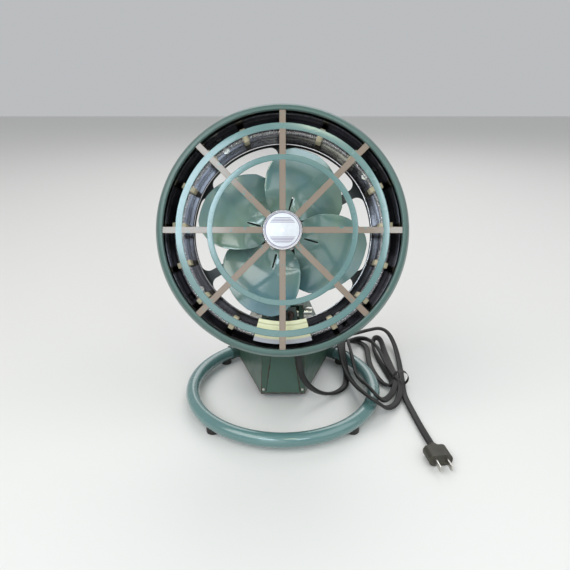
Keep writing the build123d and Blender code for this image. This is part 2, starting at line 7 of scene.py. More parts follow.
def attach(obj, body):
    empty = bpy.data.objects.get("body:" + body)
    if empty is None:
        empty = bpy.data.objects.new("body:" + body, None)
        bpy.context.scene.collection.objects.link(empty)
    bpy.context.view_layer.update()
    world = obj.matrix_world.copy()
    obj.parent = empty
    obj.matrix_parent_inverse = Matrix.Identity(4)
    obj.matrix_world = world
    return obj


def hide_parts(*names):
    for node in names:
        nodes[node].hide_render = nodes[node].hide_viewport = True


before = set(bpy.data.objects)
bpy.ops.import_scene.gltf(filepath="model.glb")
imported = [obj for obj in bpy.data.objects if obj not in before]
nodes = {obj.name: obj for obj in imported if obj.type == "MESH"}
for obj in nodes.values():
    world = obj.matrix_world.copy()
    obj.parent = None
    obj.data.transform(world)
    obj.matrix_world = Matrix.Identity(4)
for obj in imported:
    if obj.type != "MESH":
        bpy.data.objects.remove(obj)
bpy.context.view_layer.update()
print("frame loaded:", len(nodes), "nodes")

# The meshes below are made in mm, in the table's frame or in the tilted head's.
headTilt = math.radians(21)
lipMiddle = (0, -0.062, 0.247)
tableFrame = Matrix.Scale(0.001, 4)
headFrame = Matrix.Translation(lipMiddle) @ Matrix.Rotation(-headTilt, 4, "X") @ tableFrame


# Camera and light
camera = {"place": (0.0027, -0.6624, 0.42), "pitch": 68.4, "lens": 36.06}
cameraData = bpy.data.cameras.new("camera")
cameraData.lens = camera["lens"]
cameraData.sensor_width = 36
cameraObject = bpy.data.objects.new("camera", cameraData)
cameraObject.location = camera["place"]
cameraObject.rotation_euler = (math.radians(camera["pitch"]), 0, 0)
bpy.context.scene.collection.objects.link(cameraObject)
bpy.context.scene.camera = cameraObject

lamps = {
    "windowLamp": {"place": (-1.3, -1.1, 1.9), "size": 1.6, "watts": 24, "tint": (1.0, 0.985, 0.96)},
    "roomLamp": {"place": (1.5, -0.7, 1.5), "size": 1.8, "watts": 12, "tint": (0.95, 0.98, 1.0)},
    "backLamp": {"place": (0.2, 1.5, 1.7), "size": 1.6, "watts": 14, "tint": (1, 1, 1)},
    "lowLamp": {"place": (-0.3, -1.7, 0.5), "size": 0.9, "watts": 2.5, "tint": (1, 1, 1)},
    "skySheen": {"place": (-0.42, -1.32, 1.02), "size": 0.46, "watts": 5.0, "tint": (0.72, 0.88, 1.0)},
    "sideSheen": {"place": (0.52, -1.34, 0.96), "size": 0.34, "watts": 2.6, "tint": (0.78, 0.92, 1.0)},
    "warmSheen": {"place": (0.2, -1.16, 1.36), "size": 0.3, "watts": 2.2, "tint": (0.97, 1.0, 0.72)},
}
lampTarget = Vector((0, 0, 0.15))
for name, lamp in lamps.items():
    data = bpy.data.lights.new(name, "AREA")
    data.size = lamp["size"]
    data.energy = lamp["watts"]
    data.color = lamp["tint"]
    lampObject = bpy.data.objects.new(name, data)
    lampObject.location = lamp["place"]
    towards = lampTarget - Vector(lamp["place"])
    lampObject.rotation_euler = towards.to_track_quat("-Z", "Y").to_euler()
    bpy.context.scene.collection.objects.link(lampObject)

studio = {"colour": (0.80, 0.82, 0.84, 1), "strength": 0.62}
world = bpy.data.worlds.new("studio")
world.use_nodes = True
background = world.node_tree.nodes["Background"]
background.inputs["Color"].default_value = studio["colour"]
background.inputs["Strength"].default_value = studio["strength"]
bpy.context.scene.world = world
bpy.context.scene.view_settings.view_transform = "Standard"
print("camera and lamps set")


# Making meshes
def addPiece(name, mesh, body, replaced=()):
    piece = bpy.data.objects.new(name, mesh)
    bpy.context.scene.collection.objects.link(piece)
    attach(piece, body)
    if replaced:
        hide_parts(*replaced)
    return piece


def meshFrom(name, points, faces, place, sharp=35):
    # Welds, points faces outwards, and shades smooth except at sharp edges.
    work = bmesh.new()
    corners = [work.verts.new(p) for p in points]
    for face in faces:
        try:
            work.faces.new([corners[i] for i in face])
        except ValueError:
            pass
    bmesh.ops.remove_doubles(work, verts=work.verts, dist=1e-5)
    bmesh.ops.recalc_face_normals(work, faces=work.faces)
    mesh = bpy.data.meshes.new(name)
    work.transform(place)
    work.to_mesh(mesh)
    work.free()
    return shadeMesh(mesh, sharp)


def shadeMesh(mesh, sharp=35):
    mesh.polygons.foreach_set("use_smooth", [True] * len(mesh.polygons))
    mesh.set_sharp_from_angle(angle=math.radians(sharp))
    return mesh


def joined(name, meshes):
    # One mesh out of several.
    work = bmesh.new()
    for mesh in meshes:
        work.from_mesh(mesh)
    result = bpy.data.meshes.new(name)
    work.to_mesh(result)
    work.free()
    return result


def turnedMesh(name, outline, steps=180, place=headFrame, sharp=35):
    # A closed outline of (radius, depth) turned about the head's axis.
    points, faces = [], []
    count = len(outline)
    for step in range(steps):
        angle = 2 * math.pi * step / steps
        for radius, depth in outline:
            points.append((radius * math.cos(angle), depth, radius * math.sin(angle)))
    for step in range(steps):
        after = (step + 1) % steps
        for k in range(count):
            nextK = (k + 1) % count
            near, far = step * count, after * count
            faces.append((near + k, far + k, far + nextK, near + nextK))
    return meshFrom(name, points, faces, place, sharp)


def loftedMesh(name, rings, place=tableFrame, sharp=35, closed=False):
    # Skin over rings of points, with its ends filled.
    points = [p for ring in rings for p in ring]
    count = len(rings[0])
    faces = []
    last = len(rings) if closed else len(rings) - 1
    for r in range(last):
        after = (r + 1) % len(rings)
        for k in range(count):
            nextK = (k + 1) % count
            near, far = r * count, after * count
            faces.append((near + k, near + nextK, far + nextK, far + k))
    if not closed:
        faces.append(tuple(range(count)))
        faces.append(tuple((len(rings) - 1) * count + k for k in range(count)))
    return meshFrom(name, points, faces, place, sharp)


def roundedBox(length, width, height, radius, centre=(0, 0, 0), steps=3):
    # Box with rounded edges, lengths along X, Y and Z.
    work = bmesh.new()
    bmesh.ops.create_cube(work, size=1)
    bmesh.ops.scale(work, verts=work.verts, vec=(length, width, height))
    bmesh.ops.bevel(work, geom=work.edges[:], offset=radius, segments=steps, profile=0.5, affect="EDGES")
    bmesh.ops.translate(work, verts=work.verts, vec=centre)
    mesh = bpy.data.meshes.new("box")
    work.to_mesh(mesh)
    work.free()
    return shadeMesh(mesh, 50)


def sheetOutline(path, wall):
    # Closed outline of a bent sheet: the path, and back along its offset.
    outer = []
    count = len(path)
    for k, (r, d) in enumerate(path):
        before = path[max(k - 1, 0)]
        after = path[min(k + 1, count - 1)]
        tangent = Vector((after[0] - before[0], after[1] - before[1])).normalized()
        outer.append((r - tangent.y * wall, d + tangent.x * wall))
    return path + outer[::-1]


def smoothPath(corners, bends, steps=6):
    # Path through corners, each rounded by its bend radius.
    path = [corners[0]]
    for k in range(1, len(corners) - 1):
        corner = Vector(corners[k])
        toBefore = (Vector(corners[k - 1]) - corner).normalized()
        toAfter = (Vector(corners[k + 1]) - corner).normalized()
        half = toBefore.angle(toAfter) / 2
        cut = bends[k - 1] / math.tan(half)
        centre = corner + (toBefore + toAfter).normalized() * bends[k - 1] / math.sin(half)
        start, end = corner + toBefore * cut - centre, corner + toAfter * cut - centre
        sweep = start.angle_signed(end)
        for s in range(steps + 1):
            turn = -sweep * s / steps
            path.append(tuple(centre + Matrix.Rotation(turn, 2) @ start))
    path.append(corners[-1])
    return path


# Repeating with geometry nodes
def treeNode(tree, kind, inputs=None, **settings):
    # Adds a node, sets its options, and fills or links its inputs.
    made = tree.nodes.new(kind)
    for key, value in settings.items():
        setattr(made, key, value)
    for key, value in (inputs or {}).items():
        socket = made.inputs[key]
        if isinstance(value, bpy.types.NodeSocket):
            tree.links.new(value, socket)
        else:
            socket.default_value = value
    return made


def mathsFor(tree):
    # A short way to add math nodes to one tree.
    def maths(operation, a, b=0.0):
        return treeNode(tree, "ShaderNodeMath", {0: a, 1: b}, operation=operation).outputs[0]
    return maths


def newTree(name, sockets):
    tree = bpy.data.node_groups.new(name, "GeometryNodeTree")
    tree.interface.new_socket("Geometry", in_out="INPUT", socket_type="NodeSocketGeometry")
    for socketName, socketType in sockets:
        tree.interface.new_socket(socketName, in_out="INPUT", socket_type=socketType)
    tree.interface.new_socket("Geometry", in_out="OUTPUT", socket_type="NodeSocketGeometry")
    return tree, tree.nodes.new("NodeGroupInput"), tree.nodes.new("NodeGroupOutput")


def finishTree(tree, geometry, given, out):
    real = treeNode(tree, "GeometryNodeRealizeInstances", {"Geometry": geometry})
    painted = treeNode(tree, "GeometryNodeSetMaterial", {
        "Geometry": real.outputs[0], "Material": given.outputs["Material"]})
    tree.links.new(painted.outputs[0], out.inputs[0])


def makeRingOfCopies():
    # Copies of a piece set round the Y axis, each turned to face outwards.
    tree, given, out = newTree("ringOfCopies", [
        ("Piece", "NodeSocketObject"), ("Count", "NodeSocketInt"), ("First angle", "NodeSocketFloat"),
        ("Step angle", "NodeSocketFloat"), ("Material", "NodeSocketMaterial")])
    maths = mathsFor(tree)
    line = treeNode(tree, "GeometryNodeMeshLine", {"Count": given.outputs["Count"], "Offset": (0, 0, 0)})
    index = treeNode(tree, "GeometryNodeInputIndex")
    spread = maths("MULTIPLY", index.outputs[0], given.outputs["Step angle"])
    angle = maths("ADD", spread, given.outputs["First angle"])
    turn = treeNode(tree, "ShaderNodeCombineXYZ", {"Y": maths("MULTIPLY", angle, -1.0)})
    source = treeNode(tree, "GeometryNodeObjectInfo", {"Object": given.outputs["Piece"]})
    copies = treeNode(tree, "GeometryNodeInstanceOnPoints", {
        "Points": line.outputs[0], "Instance": source.outputs["Geometry"], "Rotation": turn.outputs[0]})
    finishTree(tree, copies.outputs[0], given, out)
    return tree


def makeWoundWire():
    # Wire wound into a long coil whose axis is itself bent round the Y axis.
    tree, given, out = newTree("woundWire", [
        ("Bend radius", "NodeSocketFloat"), ("Coil radius", "NodeSocketFloat"),
        ("Wire radius", "NodeSocketFloat"), ("Depth", "NodeSocketFloat"), ("First angle", "NodeSocketFloat"),
        ("Last angle", "NodeSocketFloat"), ("Turns", "NodeSocketFloat"), ("Points", "NodeSocketInt"),
        ("Material", "NodeSocketMaterial")])
    maths = mathsFor(tree)
    coilRadius = given.outputs["Coil radius"]
    line = treeNode(tree, "GeometryNodeMeshLine", {"Count": given.outputs["Points"], "Offset": (0, 0, 0)})
    index = treeNode(tree, "GeometryNodeInputIndex")
    share = maths("DIVIDE", index.outputs[0], maths("SUBTRACT", given.outputs["Points"], 1.0))
    span = maths("SUBTRACT", given.outputs["Last angle"], given.outputs["First angle"])
    around = maths("ADD", given.outputs["First angle"], maths("MULTIPLY", share, span))
    winding = maths("MULTIPLY", maths("MULTIPLY", share, given.outputs["Turns"]), 2 * math.pi)
    sideways = maths("MULTIPLY", maths("COSINE", winding), coilRadius)
    outward = maths("ADD", given.outputs["Bend radius"], sideways)
    deep = maths("ADD", given.outputs["Depth"], maths("MULTIPLY", maths("SINE", winding), coilRadius))
    place = treeNode(tree, "ShaderNodeCombineXYZ", {
        "X": maths("MULTIPLY", outward, maths("COSINE", around)), "Y": deep,
        "Z": maths("MULTIPLY", outward, maths("SINE", around))})
    wound = treeNode(tree, "GeometryNodeSetPosition", {
        "Geometry": line.outputs[0], "Position": place.outputs[0]})
    curve = treeNode(tree, "GeometryNodeMeshToCurve", {"Mesh": wound.outputs[0]})
    section = treeNode(tree, "GeometryNodeCurvePrimitiveCircle", {
        "Resolution": 5, "Radius": given.outputs["Wire radius"]})
    tube = treeNode(tree, "GeometryNodeCurveToMesh", {
        "Curve": curve.outputs[0], "Profile Curve": section.outputs[0], "Fill Caps": True})
    finishTree(tree, tube.outputs[0], given, out)
    return tree


def grown(name, tree, values, place=headFrame, sharp=35):
    # Runs a geometry-node tree once and keeps the plain mesh that it gives.
    holder = bpy.data.objects.new(name + "Maker", bpy.data.meshes.new(name + "Maker"))
    bpy.context.scene.collection.objects.link(holder)
    modifier = holder.modifiers.new("make", "NODES")
    modifier.node_group = tree
    for item in tree.interface.items_tree:
        if item.item_type == "SOCKET" and item.in_out == "INPUT" and item.name in values:
            modifier[item.identifier] = values[item.name]
    graph = bpy.context.evaluated_depsgraph_get()
    mesh = bpy.data.meshes.new_from_object(holder.evaluated_get(graph))
    holder.modifiers.remove(modifier)
    bpy.data.objects.remove(holder)
    mesh.name = name
    mesh.transform(place)
    return shadeMesh(mesh, sharp)


ringOfCopies = makeRingOfCopies()
woundWire = makeWoundWire()


def copiesRound(name, mesh, angles, material, place=headFrame, sharp=35):
    # Copies of a mesh at even angles: angles is (count, first, step) in degrees.
    source = bpy.data.objects.new(name + "Source", mesh)
    bpy.context.scene.collection.objects.link(source)
    count, first, step = angles
    result = grown(name, ringOfCopies, {
        "Piece": source, "Count": count, "First angle": math.radians(first),
        "Step angle": math.radians(step), "Material": material}, place, sharp)
    bpy.data.objects.remove(source)
    return result


# Materials
def shade(r, g, b):
    # Colour from the usual 0 to 255 values.
    def linear(value):
        value /= 255
        return value / 12.92 if value <= 0.04045 else ((value + 0.055) / 1.055) ** 2.4
    return (linear(r), linear(g), linear(b), 1)


def newGroup(name, inputs, outputs):
    tree = bpy.data.node_groups.new(name, "ShaderNodeTree")
    for socketName, socketType, value in inputs:
        socket = tree.interface.new_socket(socketName, in_out="INPUT", socket_type=socketType)
        if value is not None:
            socket.default_value = value
    for socketName, socketType in outputs:
        tree.interface.new_socket(socketName, in_out="OUTPUT", socket_type=socketType)
    return tree, tree.nodes.new("NodeGroupInput"), tree.nodes.new("NodeGroupOutput")


def mixColours(tree, factor, first, second):
    # Colour mix; a plain colour is set on the node and a socket is linked.
    mix = tree.nodes.new("ShaderNodeMix")
    mix.data_type = "RGBA"
    for socket, value in ((mix.inputs[0], factor), (mix.inputs[6], first), (mix.inputs[7], second)):
        if isinstance(value, bpy.types.NodeSocket):
            tree.links.new(value, socket)
        else:
            socket.default_value = value
    return mix.outputs[2]


def noise(tree, spot, scale, detail, roughness=0.5, distortion=0.0):
    return treeNode(tree, "ShaderNodeTexNoise", {
        "Vector": spot, "Scale": scale, "Detail": detail, "Roughness": roughness,
        "Distortion": distortion}).outputs[0]


def ranged(tree, value, source=(0.0, 1.0), target=(0.0, 1.0)):
    # A value taken from one range to another, and held within it.
    return treeNode(tree, "ShaderNodeMapRange", {
        "Value": value, "From Min": source[0], "From Max": source[1],
        "To Min": target[0], "To Max": target[1]}).outputs[0]


def makeAgedPaint():
    # Old enamel: soft mottling, small chips and fine scratches.
    tree, given, out = newGroup("agedPaint", [
        ("Vector", "NodeSocketVector", None), ("Colour", "NodeSocketColor", None),
        ("Faded", "NodeSocketColor", None), ("Bare", "NodeSocketColor", None),
        ("Edge", "NodeSocketFloat", 0.5), ("Wear", "NodeSocketFloat", 0.3), ("Gloss", "NodeSocketFloat", 0.3)],
        [("Colour", "NodeSocketColor"), ("Roughness", "NodeSocketFloat"), ("Height", "NodeSocketFloat")])
    maths = mathsFor(tree)
    spot = given.outputs["Vector"]
    mottle = ranged(tree, noise(tree, spot, 9.0, 5.0, 0.6), (0.35, 0.7), (0.0, 0.55))
    base = mixColours(tree, mottle, given.outputs["Colour"], given.outputs["Faded"])
    # chips come where an edge and the noise agree
    grit = noise(tree, spot, 130.0, 6.0, 0.7)
    edgeLift = ranged(tree, given.outputs["Edge"], (0.53, 0.62), (0.0, 0.45))
    level = maths("SUBTRACT", 1.02, given.outputs["Wear"])
    chips = ranged(tree, maths("ADD", grit, edgeLift), (level, maths("ADD", level, 0.03)))
    painted = mixColours(tree, chips, base, given.outputs["Bare"])
    uneven = ranged(tree, noise(tree, spot, 42.0, 3.0, distortion=1.5), (0.3, 0.75), (-0.05, 0.1))
    roughness = maths("ADD", maths("ADD", given.outputs["Gloss"], uneven), maths("MULTIPLY", chips, 0.35))
    height = maths("SUBTRACT", noise(tree, spot, 260.0, 2.0), chips)
    tree.links.new(painted, out.inputs["Colour"])
    tree.links.new(roughness, out.inputs["Roughness"])
    tree.links.new(height, out.inputs["Height"])
    return tree


agedPaint = makeAgedPaint()


def newMaterial(name):
    material = bpy.data.materials.new(name)
    material.use_nodes = True
    tree = material.node_tree
    return material, tree, tree.nodes["Principled BSDF"]


def bumped(tree, shader, height, strength, distance=0.0004):
    bump = treeNode(tree, "ShaderNodeBump", {"Height": height, "Strength": strength, "Distance": distance})
    tree.links.new(bump.outputs[0], shader.inputs["Normal"])


def headSpace(tree):
    # Object coordinates turned so that Y runs along the head's axis from the middle of the lip.
    spot = tree.nodes.new("ShaderNodeTexCoord").outputs["Object"]
    mapping = treeNode(tree, "ShaderNodeMapping", {
        "Vector": spot, "Location": lipMiddle, "Rotation": (-headTilt, 0, 0)}, vector_type="TEXTURE")
    return mapping.outputs[0]


def fromAxis(tree, parts):
    # Distance from the head's axis, out of separate coordinates.
    flat = treeNode(tree, "ShaderNodeCombineXYZ", {"X": parts.outputs["X"], "Z": parts.outputs["Z"]})
    return treeNode(tree, "ShaderNodeVectorMath", {0: flat.outputs[0]}, operation="LENGTH").outputs["Value"]


def enamel(name, colour, faded, bare, gloss, wear, coat=0.25):
    material, tree, shader = newMaterial(name)
    spot = tree.nodes.new("ShaderNodeTexCoord").outputs["Object"]
    edge = tree.nodes.new("ShaderNodeNewGeometry").outputs["Pointiness"]
    aged = tree.nodes.new("ShaderNodeGroup")
    aged.node_tree = agedPaint
    tree.links.new(spot, aged.inputs["Vector"])
    tree.links.new(edge, aged.inputs["Edge"])
    for key, value in (("Colour", colour), ("Faded", faded), ("Bare", bare), ("Wear", wear), ("Gloss", gloss)):
        aged.inputs[key].default_value = value
    tree.links.new(aged.outputs["Colour"], shader.inputs["Base Color"])
    tree.links.new(aged.outputs["Roughness"], shader.inputs["Roughness"])
    bumped(tree, shader, aged.outputs["Height"], 0.12)
    shader.inputs["Coat Weight"].default_value = coat
    shader.inputs["Coat Roughness"].default_value = 0.12
    shader.inputs["Specular IOR Level"].default_value = 0.5
    return material


def metal(name, colour, stained, roughness, stains=0.4, scale=60.0):
    # Bare metal with fine marks and darker stains.
    material, tree, shader = newMaterial(name)
    spot = tree.nodes.new("ShaderNodeTexCoord").outputs["Object"]
    marks = noise(tree, spot, scale * 8, 3.0)
    mask = ranged(tree, noise(tree, spot, scale, 5.0, 0.65), (0.42, 0.72), (0.0, stains))
    tree.links.new(mixColours(tree, mask, colour, stained), shader.inputs["Base Color"])
    rough = ranged(tree, marks, (0.3, 0.7), (roughness - 0.05, roughness + 0.12))
    tree.links.new(rough, shader.inputs["Roughness"])
    bumped(tree, shader, marks, 0.08, 0.0002)
    shader.inputs["Metallic"].default_value = 1.0
    return material


def moulded(name, colour, second, roughness, scale=80.0, bump=0.15):
    # Plastic, rubber or ceramic: mottled, with a fine surface.
    material, tree, shader = newMaterial(name)
    spot = tree.nodes.new("ShaderNodeTexCoord").outputs["Object"]
    clouds = noise(tree, spot, scale, 5.0, 0.6)
    mask = ranged(tree, clouds, (0.4, 0.7), (0.0, 0.5))
    tree.links.new(mixColours(tree, mask, colour, second), shader.inputs["Base Color"])
    rough = ranged(tree, clouds, target=(roughness - 0.08, roughness + 0.12))
    tree.links.new(rough, shader.inputs["Roughness"])
    bumped(tree, shader, noise(tree, spot, scale * 12, 2.0), bump, 0.0003)
    return material


# where the dish gets its painted highlights, in metres from the head's axis and from its lip
dish = {"innerEdge": 0.1049, "outerEdge": 0.1313, "highlightBandDepth": 0.030, "highlightBandFade": (0.0045, 0.0015)}


def darkDish(name):
    # Polished steel with rings of spinning marks, dark between bright edges: the dark is a painted dark
    # reflection, and the bright edges and a bright band are painted highlights.
    material, tree, shader = newMaterial(name)
    maths = mathsFor(tree)
    spot = headSpace(tree)
    parts = treeNode(tree, "ShaderNodeSeparateXYZ", {"Vector": spot})
    radius = fromAxis(tree, parts)
    ringSpot = treeNode(tree, "ShaderNodeCombineXYZ", {"X": radius, "Y": parts.outputs["Y"]})
    rings = noise(tree, ringSpot.outputs[0], 420.0, 4.0, 0.7)
    streak = ranged(tree, rings, (0.38, 0.62))
    # painted dark reflection: the steel is given a near-black colour, with its real spinning marks as streaks
    streaksAndDarkReflection = mixColours(tree, streak, (0.025, 0.025, 0.03, 1), (0.16, 0.16, 0.18, 1))
    soot = ranged(tree, noise(tree, spot, 14.0, 6.0, 0.6), (0.45, 0.7), (0.0, 0.75))
    sootAndDarkReflection = mixColours(tree, soot, streaksAndDarkReflection, (0.02, 0.018, 0.02, 1))
    # painted highlight: the dish's edges and a band at one depth are made bright
    edges = maths("MAXIMUM", maths("LESS_THAN", radius, dish["innerEdge"]),
                  maths("GREATER_THAN", radius, dish["outerEdge"]))
    fromHighlightBand = maths("ABSOLUTE", maths("SUBTRACT", parts.outputs["Y"], dish["highlightBandDepth"]))
    paintedHighlight = maths("MAXIMUM", edges, ranged(tree, fromHighlightBand, dish["highlightBandFade"], (0.0, 0.55)))
    tree.links.new(mixColours(tree, paintedHighlight, sootAndDarkReflection, (0.55, 0.54, 0.55, 1)), shader.inputs["Base Color"])
    tree.links.new(ranged(tree, rings, (0.3, 0.7), (0.07, 0.24)), shader.inputs["Roughness"])
    bumped(tree, shader, rings, 0.22, 0.0003)
    shader.inputs["Metallic"].default_value = 1.0
    return material


plate = {"stripes": (0.0074, 0.0140), "pitch": 0.0016, "reach": 0.0160, "border": (0.0184, 0.0193)}


def stripedPlate(name):
    # Silver disc with fine coloured lines above and below a plain middle band.
    material, tree, shader = newMaterial(name)
    maths = mathsFor(tree)
    spot = headSpace(tree)
    parts = treeNode(tree, "ShaderNodeSeparateXYZ", {"Vector": spot})
    radius = fromAxis(tree, parts)

    def between(value, limits):
        return maths("MULTIPLY", maths("GREATER_THAN", value, limits[0]), maths("LESS_THAN", value, limits[1]))

    outside = between(maths("ABSOLUTE", parts.outputs["Z"]), plate["stripes"])
    wave = maths("SINE", maths("MULTIPLY", parts.outputs["Z"], 2 * math.pi / plate["pitch"]))
    stripes = maths("MULTIPLY", outside, maths("GREATER_THAN", wave, 0.1))
    lines = maths("MULTIPLY", stripes, maths("LESS_THAN", radius, plate["reach"]))
    inked = maths("MAXIMUM", lines, between(radius, plate["border"]))
    clouds = noise(tree, spot, 240.0, 4.0)
    silver = mixColours(tree, clouds, (0.46, 0.46, 0.49, 1), (0.58, 0.58, 0.60, 1))
    ink = mixColours(tree, clouds, shade(128, 112, 138), shade(98, 92, 112))
    tree.links.new(mixColours(tree, inked, silver, ink), shader.inputs["Base Color"])
    tree.links.new(ranged(tree, inked, target=(0.36, 0.5)), shader.inputs["Roughness"])
    tree.links.new(ranged(tree, inked, target=(0.85, 0.1)), shader.inputs["Metallic"])
    bumped(tree, shader, inked, -0.3, 0.0003)
    return material


def banded(name, colour, second, pitch, roughness, metallic):
    # Even bands along the head's axis, as laid wire or stacked sheets.
    material, tree, shader = newMaterial(name)
    maths = mathsFor(tree)
    parts = treeNode(tree, "ShaderNodeSeparateXYZ", {"Vector": headSpace(tree)})
    wave = maths("SINE", maths("MULTIPLY", parts.outputs["Y"], 2 * math.pi / pitch))
    mask = ranged(tree, wave, (-1.0, 1.0))
    clouds = noise(tree, tree.nodes.new("ShaderNodeTexCoord").outputs["Object"], 70.0, 4.0)
    tint = mixColours(tree, clouds, colour, second)
    tree.links.new(mixColours(tree, mask, second, tint), shader.inputs["Base Color"])
    rough = ranged(tree, clouds, target=(roughness - 0.1, roughness + 0.1))
    tree.links.new(rough, shader.inputs["Roughness"])
    bumped(tree, shader, mask, 0.5, 0.0003)
    shader.inputs["Metallic"].default_value = metallic
    return material


# the drum's rear corner is round, so the line between in and out follows its bend
corner = {"radius": 0.1245, "depth": 0.0492, "bend": 0.0134}


def paintedShadeInside(material):
    # Paints the head's inner faces near black, a painted shade, and takes their coat away.
    tree = material.node_tree
    maths = mathsFor(tree)
    shader = tree.nodes["Principled BSDF"]
    spot = headSpace(tree)
    parts = treeNode(tree, "ShaderNodeSeparateXYZ", {"Vector": spot})
    pastSide = maths("MAXIMUM", maths("SUBTRACT", fromAxis(tree, parts), corner["radius"]), 0.0)
    pastRear = maths("MAXIMUM", maths("SUBTRACT", parts.outputs["Y"], corner["depth"]), 0.0)
    past = treeNode(tree, "ShaderNodeCombineXYZ", {"X": pastSide, "Y": pastRear})
    reach = treeNode(tree, "ShaderNodeVectorMath", {0: past.outputs[0]}, operation="LENGTH").outputs["Value"]
    inside = maths("LESS_THAN", reach, corner["bend"])
    # painted shade: near black on the faces inside the drum, where shade falls
    paintedShade = mixColours(tree, noise(tree, spot, 60.0, 4.0), (0.004, 0.007, 0.007, 1), (0.012, 0.018, 0.018, 1))
    paint = shader.inputs["Base Color"].links[0].from_socket
    tree.links.new(mixColours(tree, inside, paint, paintedShade), shader.inputs["Base Color"])
    coat = shader.inputs["Coat Weight"]
    tree.links.new(ranged(tree, inside, target=(coat.default_value, 0.0)), coat)
    return material


bareSteel = (0.20, 0.15, 0.11, 1)
# half widths at the table and how much they narrow upwards, then the front's place and the lower edge
foot = {"panelEdge": (0.0243, 0.139), "fold": (0.0292, 0.03), "front": -0.0112, "lowerEdge": 0.0094,
        "rustReach": 0.0065, "rustFade": (-0.0002, 0.0003)}


def pedestalEnamel(name, colour, faded):
    # Enamel of the folded foot, with rust along its front folds and lower edge.
    material = enamel(name, colour, faded, bareSteel, 0.36, -0.2, 0.15)
    tree = material.node_tree
    maths = mathsFor(tree)
    shader = tree.nodes["Principled BSDF"]
    spot = tree.nodes.new("ShaderNodeTexCoord").outputs["Object"]
    parts = treeNode(tree, "ShaderNodeSeparateXYZ", {"Vector": spot})
    across, height = maths("ABSOLUTE", parts.outputs["X"]), parts.outputs["Z"]

    def fromLine(line):
        edge = maths("SUBTRACT", line[0], maths("MULTIPLY", height, line[1]))
        return maths("ABSOLUTE", maths("SUBTRACT", across, edge))

    behind = maths("SUBTRACT", 1.0, maths("LESS_THAN", parts.outputs["Y"], foot["front"]))
    near = maths("MINIMUM", fromLine(foot["panelEdge"]), fromLine(foot["fold"]))
    near = maths("ADD", near, maths("MULTIPLY", behind, 0.01))
    near = maths("MINIMUM", near, maths("MAXIMUM", maths("SUBTRACT", height, foot["lowerEdge"]), 0.0))
    grit = noise(tree, spot, 160.0, 6.0, 0.7)
    reach = maths("MULTIPLY", maths("SUBTRACT", grit, 0.42), foot["rustReach"])
    rusty = ranged(tree, maths("SUBTRACT", reach, near), foot["rustFade"])
    rust = mixColours(tree, grit, shade(24, 18, 13), shade(78, 50, 32))
    paint = shader.inputs["Base Color"].links[0].from_socket
    tree.links.new(mixColours(tree, rusty, paint, rust), shader.inputs["Base Color"])
    return material


board = {"crease": 0.1062, "creaseWidth": 0.0014, "rim": (0.1215, 0.1235), "streaks": (18, 1, 90)}


def coverBoard(name):
    # Glossy cream board with a soft crease, a painted shade along the crease, and bluish grey towards its
    # outer edge.
    material, tree, shader = newMaterial(name)
    maths = mathsFor(tree)
    spot = headSpace(tree)
    radius = fromAxis(tree, treeNode(tree, "ShaderNodeSeparateXYZ", {"Vector": spot}))
    stretched = treeNode(tree, "ShaderNodeMapping", {"Vector": spot, "Scale": board["streaks"]})
    streaks = noise(tree, stretched.outputs[0], 4.0, 5.0)
    base = mixColours(tree, streaks, shade(214, 214, 168), shade(238, 238, 204))
    # painted shade: a darker line along the crease, which also gets a real bump
    nearCrease = maths("ABSOLUTE", maths("SUBTRACT", radius, board["crease"]))
    crease = ranged(tree, nearCrease, (board["creaseWidth"], 0.0), (0.0, 0.6))
    shadedCrease = mixColours(tree, crease, base, shade(150, 150, 118))
    rim = ranged(tree, radius, board["rim"], (0.0, 0.8))
    tree.links.new(mixColours(tree, rim, shadedCrease, shade(168, 170, 190)), shader.inputs["Base Color"])
    tree.links.new(ranged(tree, streaks, target=(0.12, 0.3)), shader.inputs["Roughness"])
    bumped(tree, shader, maths("SUBTRACT", streaks, crease), 0.35, 0.0006)
    shader.inputs["Coat Weight"].default_value = 0.3
    return material


tealPaint = enamel("tealPaint", shade(86, 122, 121), shade(76, 108, 106), bareSteel, 0.22, 0.20, 1.0)
# painted shade: the bezel, the drum and the rear spider take darker copies of the teal enamel
shadedBezelPaint = enamel("shadedBezelPaint", shade(70, 98, 93), shade(60, 84, 78), bareSteel, 0.34, 0.20, 0.3)
shadedDrumPaint = paintedShadeInside(enamel("shadedDrumPaint", shade(72, 100, 95), shade(62, 86, 80), bareSteel, 0.32,
                              -0.2, 0.4))
shadedSpiderPaint = paintedShadeInside(enamel("shadedSpiderPaint", shade(54, 80, 74), shade(48, 68, 62), bareSteel, 0.36,
                                -0.2, 0.2))
# painted shade: the pedestal, its front panel, the ring straps and the tilt bracket take darker copies of the
# teal enamel
shadedFootPaint = pedestalEnamel("shadedFootPaint", shade(58, 84, 72), shade(50, 72, 60))
shadedPanelPaint = pedestalEnamel("shadedPanelPaint", shade(62, 92, 80), shade(54, 80, 68))
deepShadedPaint = enamel("deepShadedPaint", shade(54, 80, 74), shade(48, 68, 62), bareSteel, 0.36, -0.2, 0.2)
